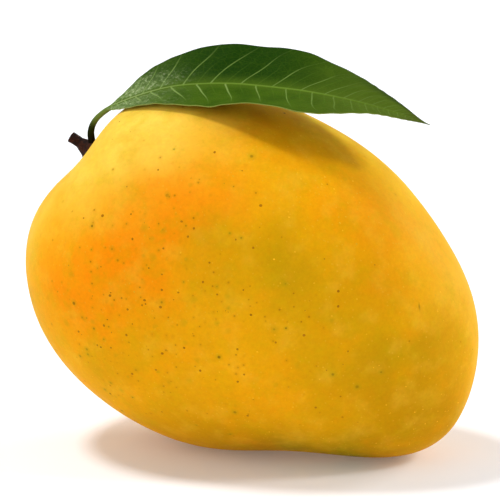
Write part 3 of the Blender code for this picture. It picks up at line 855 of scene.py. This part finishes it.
def mark_cut_end(mesh):
    """Marks the corners of the closing face at the cut, for the paler wood there."""
    marks = mesh.attributes.new("cut_end", "FLOAT", "CORNER")
    widest = max(len(face.vertices) for face in mesh.polygons)
    for face in mesh.polygons:
        if len(face.vertices) == widest:
            face.use_smooth = False
            for corner in face.loop_indices:
                marks.data[corner].value = 1.0


# Leaf


def ease(value):
    """Runs smoothly from 0 to 1 as the value does."""
    value = min(max(value, 0.0), 1.0)
    return value * value * (3.0 - 2.0 * value)


class Spine:
    """The smooth line that the stalk and then the midrib follow, by distance from its start."""

    STEPS = 24

    def __init__(self, knots):
        ends = [2 * knots[0] - knots[1], *knots, 2 * knots[-1] - knots[-2]]
        self.points = []
        for before, start, stop, after in zip(ends, ends[1:], ends[2:], ends[3:]):
            leaving = start + (stop - before) / 6.0
            arriving = stop - (after - start) / 6.0
            self.points += interpolate_bezier(start, leaving, arriving, stop, self.STEPS + 1)[:-1]
        self.points.append(knots[-1])
        self.distances = [0.0]
        for start, stop in zip(self.points, self.points[1:]):
            self.distances.append(self.distances[-1] + (stop - start).length)
        self.length = self.distances[-1]

    def distance_at_knot(self, index):
        return self.distances[index * self.STEPS]

    def point(self, distance):
        distance = min(max(distance, 0.0), self.length)
        later = bisect.bisect_left(self.distances, distance, 1, len(self.distances) - 1)
        span = self.distances[later] - self.distances[later - 1]
        part = (distance - self.distances[later - 1]) / span
        return self.points[later - 1].lerp(self.points[later], part)

    def frame(self, distance):
        """A point of the line, and there the ways to the back margin and up from the blade."""
        ahead = self.point(distance + HEADING_REACH) - self.point(distance - HEADING_REACH)
        ahead.normalize()
        to_back = Vector((0.0, 1.0, 0.0)) - ahead * ahead.y
        to_back.normalize()
        return self.point(distance), to_back, ahead.cross(to_back)


def tip_thinning(along):
    """1 over most of the leaf, and less in its last few millimetres."""
    return TIP_THINNEST + (1.0 - TIP_THINNEST) * ease((1.0 - along) / TIP_THINNING_SHARE)


def rib_half_width(along):
    width = RIB_BASE_HALF_WIDTH + (RIB_TIP_HALF_WIDTH - RIB_BASE_HALF_WIDTH) * along
    return width * tip_thinning(along)


def blade_half_width(along):
    """From the edge of the rib to the margin, at a fraction of the blade's length."""
    along = min(max(along, 0.0), 1.0)
    swell = max(math.sin(math.pi * along**BLADE_WIDEST), 0.0) ** BLADE_FULLNESS
    wedge = 1.0 - math.exp(-along / BLADE_WEDGE)
    drawn_out = 1.0 - along**BLADE_TIP_POWER
    return BLADE_TIP_HALF_WIDTH + BLADE_HALF_WIDTH * swell * wedge * drawn_out


def half_fold(side, along):
    if side < 0:
        return FRONT_FOLD
    return BACK_FOLD_AT_BASE + (BACK_FOLD_AT_TIP - BACK_FOLD_AT_BASE) * along


def margin_lift(side, along):
    waves = FRONT_WAVES if side < 0 else BACK_WAVES
    return sum(lift * math.exp(-(((along - place) / spread) ** 2)) for place, spread, lift in waves)


def leaf_columns():
    """Each column from the front margin to the back: its side, and how far over rib and blade."""
    half = [(step / RIB_STEPS, 0.0) for step in range(1, RIB_STEPS + 1)]
    half += [(1.0, step / BLADE_STEPS) for step in range(1, BLADE_STEPS + 1)]
    front = [(-1, over_rib, out) for over_rib, out in reversed(half)]
    back = [(1, over_rib, out) for over_rib, out in half]
    return front + [(1, 0.0, 0.0)] + back


def leaf_rows(blade_length):
    """Each row's place along the blade, the vein before it, its place to the next vein, and
    how far apart those two veins are."""
    rows = []
    along = 0.0
    vein = 0
    fields = FIELD_ROWS + [0.5 + field for field in FIELD_ROWS]
    while along < 1.0:
        crowding = VEIN_CROWDING * ease((along - VEIN_CROWDING_START) / VEIN_CROWDING_RUN)
        spacing = VEIN_SPACING * (1.0 - crowding)
        share = (VEIN_LEAST_SPACING + spacing * blade_half_width(along)) / blade_length
        share = 1.0 - along if along + LAST_FIELD * share > 1.0 else share
        for field in fields:
            rows.append((along + share * field, vein, field, share * blade_length))
        along += share
        vein += 1
    rows.append((1.0, vein, 0.0, share * blade_length))
    return rows


def vein_wanders(count):
    """For each side vein and side: how it sways and how much more or less it sweeps."""
    rng = random.Random(VEIN_WANDER_SEED)
    wanders = {}
    for vein in range(count):
        for side in (-1, 1):
            turns = rng.uniform(*VEIN_WANDER_TURNS)
            start = rng.random()
            more_sweep = rng.uniform(-VEIN_SWEEP_CHANGE, VEIN_SWEEP_CHANGE)
            wanders[vein, side] = (turns, start, more_sweep)
    return wanders


def vein_sway(wander, out):
    turns, start, _ = wander
    return VEIN_WANDER * out * math.sin(math.tau * (turns * out + start))


def swept_place(side, out, along, vein, field, wanders):
    """Where a row is, out on the blade: it bends to the tip as its two veins do."""
    at_base, at_tip = BACK_SWEEP if side > 0 else FRONT_SWEEP
    power = BACK_SWEEP_BEND if side > 0 else FRONT_SWEEP_BEND
    inside = min(max(along, 0.0), 1.0)
    sweep = at_base + (at_tip - at_base) * inside
    most_in_the_middle = 4.0 * inside * (1.0 - inside)
    place = along
    for number, share in ((vein, 1.0 - field), (vein + 1, field)):
        wander = wanders[number, side]
        bend = sweep * (1.0 + wander[2]) * out**power + MARGIN_ARCH * out**MARGIN_ARCH_POWER
        place += share * (bend + vein_sway(wander, out)) * most_in_the_middle
    return place


def blade_section(side, over_rib, out, along, vein_distance, field):
    """Top and bottom of one column, as ways to the back and up, in the leaf's own section."""
    distance = rib_half_width(along) * over_rib + blade_half_width(along) * out
    fold = half_fold(side, along)
    bend = FOLD_CURL * distance / BLADE_HALF_WIDTH
    slope = fold + bend / 2.0
    place = Vector((side * distance * math.cos(slope), distance * math.sin(slope)))
    normal = Vector((-side * math.sin(fold + bend), math.cos(fold + bend)))
    other_fold = half_fold(-side, along)
    other = Vector((side * math.sin(other_fold), math.cos(other_fold)))
    normal = normal.lerp(other, (1.0 - over_rib) / 2.0).normalized()
    puff = PUFF * math.sin(math.pi * field) ** 2 * math.sin(math.pi * min(out, PUFF_HELD_FROM))
    puff *= min(blade_half_width(along) / (PUFF_FULL_WIDTH * BLADE_HALF_WIDTH), 1.0)
    place += normal * (margin_lift(side, along) * out**2 + puff)
    crest = math.cos(math.pi / 2.0 * over_rib) ** 0.5 if over_rib < 1.0 else 0.0
    relief = VEIN_RELIEF * math.exp(-((vein_distance / VEIN_RELIEF_WIDTH) ** 2))
    relief *= 1.0 - VEIN_RELIEF_LOSS * out
    relief *= min(out * VEIN_RELIEF_RISE, 1.0)
    half_thickness = BLADE_THICKNESS / 2.0 * (1.0 - EDGE_THINNING * out**EDGE_THINNING_POWER)
    above = half_thickness + RIB_RISE * crest * (1.0 - RIB_RISE_TAPER * along) + relief
    below = half_thickness + RIB_DROP * crest * (1.0 - RIB_DROP_TAPER * along) + relief
    thin = tip_thinning(along)
    return place + normal * above * thin, place - normal * below * thin


def stalk_section(index, count, radius):
    """Top and bottom of one column where the leaf is a round stalk."""
    angle = math.pi * (1.0 - (index + 0.5) / count)
    top = Vector((math.cos(angle), math.sin(angle))) * radius
    return top, Vector((top.x, -top.y))


def leaf_points(spine, blade_start):
    """Rings round the leaf from the foot of the stalk to the tip, and marks on every point."""
    columns = leaf_columns()
    length = spine.length - blade_start
    stalk = blade_start / length
    rows = [((row / STALK_ROWS - 1.0) * stalk, 0, 0.0, MM) for row in range(STALK_ROWS)]
    rows += leaf_rows(length)
    wanders = vein_wanders(rows[-1][1] + 2)
    points = []
    marks = {name: [] for name in LEAF_MARKS}
    places = []
    for along, vein, field, spacing in rows:
        tops = []
        bottoms = []
        ring_marks = []
        for index, (side, over_rib, out) in enumerate(columns):
            swept = swept_place(side, out, along, vein, field, wanders)
            flat = ease(swept / BLADE_NECK)
            thin = ease(1.0 + swept / stalk)
            radius = STALK_FOOT_RADIUS + (STALK_NECK_RADIUS - STALK_FOOT_RADIUS) * thin
            own_field = field if side > 0 else (field + 0.5) % 1.0
            vein_distance = spacing / MM * min(own_field, 1.0 - own_field)
            between = spacing / MM * abs(0.5 - own_field)
            at = max(swept, 0.0)
            point, to_back, up = spine.frame(blade_start + swept * length)
            round_pair = stalk_section(index, len(columns), radius)
            flat_pair = blade_section(side, over_rib, out, at, vein_distance, own_field)
            for round_one, flat_one, ring in zip(round_pair, flat_pair, (tops, bottoms)):
                local = round_one.lerp(flat_one, flat)
                ring.append(point + to_back * local.x + up * local.y)
            rib = rib_half_width(at) / MM * over_rib + blade_half_width(at) / MM * out
            ring_marks.append((vein_distance, between, rib, out, 1.0 - flat))
            places.append(Vector((side * rib, swept * length / MM, 0.0)))
        places += places[-len(columns):]
        points += tops + bottoms
        for mark in ring_marks + ring_marks:
            for name, value in zip(marks, mark):
                marks[name].append(value)
    return points, marks, places, len(rows)


def leaf_faces(ring_count, columns):
    """Four-sided faces over the rings: the top, the bottom, both margins and both ends."""
    faces = []
    around = 2 * columns
    back = columns - 1
    for ring in range(ring_count - 1):
        here = ring * around
        there = here + around
        for column in range(back):
            top = here + column
            top_next = there + column
            under = top + columns
            under_next = top_next + columns
            faces.append((top, top_next, top_next + 1, top + 1))
            faces.append((under, under + 1, under_next + 1, under_next))
        faces.append((here, here + columns, there + columns, there))
        faces.append((here + back, there + back, there + back + columns, here + back + columns))
    for column in range(back):
        last = (ring_count - 1) * around + column
        faces.append((column, column + 1, column + 1 + columns, column + columns))
        faces.append((last, last + columns, last + columns + 1, last + 1))
    return faces


def build_leaf(material):
    """The stalk and blade as one skin over rings that change from round to flat."""
    spine = Spine(STALK_POINTS + MIDRIB_POINTS)
    blade_start = spine.distance_at_knot(len(STALK_POINTS))
    points, marks, places, ring_count = leaf_points(spine, blade_start)
    mesh = bpy.data.meshes.new("leaf_blade")
    mesh.from_pydata(points, [], leaf_faces(ring_count, len(leaf_columns())))
    for name, values in marks.items():
        mark = mesh.attributes.new(name, "FLOAT", "POINT")
        mark.data.foreach_set("value", values)
    place = mesh.attributes.new("blade_place", "FLOAT_VECTOR", "POINT")
    place.data.foreach_set("vector", [number for one in places for number in one])
    mesh.materials.append(material)
    mesh.shade_smooth()
    return add_piece("leaf_blade", mesh)


# The room: floor, sky and lamps


def build_floor():
    """A plain pale floor, wide enough to pass for the whole room."""
    half = FLOOR_HALF_WIDTH
    corners = [(-half, -half, 0), (half, -half, 0), (half, half, 0), (-half, half, 0)]
    mesh = bpy.data.meshes.new("floor")
    mesh.from_pydata(corners, [], [(0, 1, 2, 3)])
    sockets = {"Base_Color": FLOOR_COLOUR, "Roughness": 0.6, "Specular_IOR_Level": 0.2}
    sockets.update({"Emission_Color": FLOOR_GLOW_COLOUR, "Emission_Strength": FLOOR_GLOW})
    material, _, _ = new_finish("pale floor", **sockets)
    mesh.materials.append(material)
    floor = add_piece("floor", mesh)


def light_room():
    """White all round at eye level and softer above, with two key lamps, a rim lamp and a fill."""
    scene = bpy.context.scene
    world = bpy.data.worlds.new("studio")
    world.use_nodes = True
    scene.world = world
    tree = Tree(world.node_tree)
    way = Wire(tree, tree.nodes.new("ShaderNodeTexCoord").outputs["Generated"])
    height = tree.split(way)[2]
    sky = tree.blend(tree.ramp(height, *SKY_CHANGE), SKY_LOW_COLOUR, SKY_HIGH_COLOUR)
    background = world.node_tree.nodes["Background"]
    tree.feed(background.inputs["Color"], sky)
    background.inputs["Strength"].default_value = SKY_STRENGTH
    for name, (from_way, strength, width) in LAMPS.items():
        add_sun(name, from_way, strength, width)
    scene.view_settings.view_transform = "Standard"
    scene.view_settings.look = "None"


def add_sun(name, from_way, strength, width):
    """A distant lamp that shines from a way, as wide as a soft box seen from the fruit."""
    lamp = bpy.data.lights.new(name, "SUN")
    lamp.energy = strength
    lamp.angle = math.radians(width)
    holder = bpy.data.objects.new(name, lamp)
    bpy.context.scene.collection.objects.link(holder)
    holder.rotation_euler = (-Vector(from_way)).to_track_quat("-Z", "Y").to_euler()


def place_camera():
    camera = bpy.data.cameras.new("camera")
    camera.sensor_width = SENSOR_WIDTH
    camera.lens = LENS
    camera.clip_start = CAMERA_CLIP_START
    holder = bpy.data.objects.new("camera", camera)
    bpy.context.scene.collection.objects.link(holder)
    flat = math.cos(CAMERA_ELEVATION)
    sideways = math.sin(CAMERA_AZIMUTH) * flat
    backwards = -math.cos(CAMERA_AZIMUTH) * flat
    back = Vector((sideways, backwards, math.sin(CAMERA_ELEVATION)))
    holder.location = CAMERA_TARGET + back * CAMERA_DISTANCE
    holder.rotation_euler = (-back).to_track_quat("-Z", "Y").to_euler()
    bpy.context.scene.camera = holder


def dress(piece, node):
    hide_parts(node)
    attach(piece, "root")


def build_mango():
    skin = skin_finish()
    group, sizes = fruit_tree(skin)
    fruit = mesh_from_tree("fruit_skin", bpy.data.meshes.new("start"), group, sizes, skin)
    kinds = {
        "lenticels_dark": (dark_share, speck_finish("dark lenticel", DARK_CORK, 0.6)),
        "lenticels_pale": (pale_share, speck_finish("pale lenticel", PALE_CORK, 0.5)),
    }
    specks = []
    for name, (density, radius, flatness, seed) in LENTICELS.items():
        share, finish = kinds[name]
        sizes = {"Density": density, "Radius": radius, "Flatness": flatness, "Seed": seed}
        group = lenticel_tree(name, sizes, finish, share)
        specks.append(mesh_from_tree(name, fruit.data.copy(), group, sizes, finish))
    bark = bark_finish()
    group, sizes = stem_tree(bark)
    stem = mesh_from_tree("stem_bark", stem_curve(), group, sizes, bark)
    mark_cut_end(stem.data)
    leaf = build_leaf(leaf_finish())
    for piece in [fruit] + specks:
        dress(piece, "fruit")
    dress(stem, "stem")
    dress(leaf, "leaf")


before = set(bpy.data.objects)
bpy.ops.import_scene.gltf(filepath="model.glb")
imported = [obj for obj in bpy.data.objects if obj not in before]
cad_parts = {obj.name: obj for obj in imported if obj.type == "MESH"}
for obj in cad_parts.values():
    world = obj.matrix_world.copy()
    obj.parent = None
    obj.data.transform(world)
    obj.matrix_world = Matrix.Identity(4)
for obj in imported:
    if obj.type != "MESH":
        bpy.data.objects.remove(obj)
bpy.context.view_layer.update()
place_camera()
build_mango()
build_floor()
light_room()
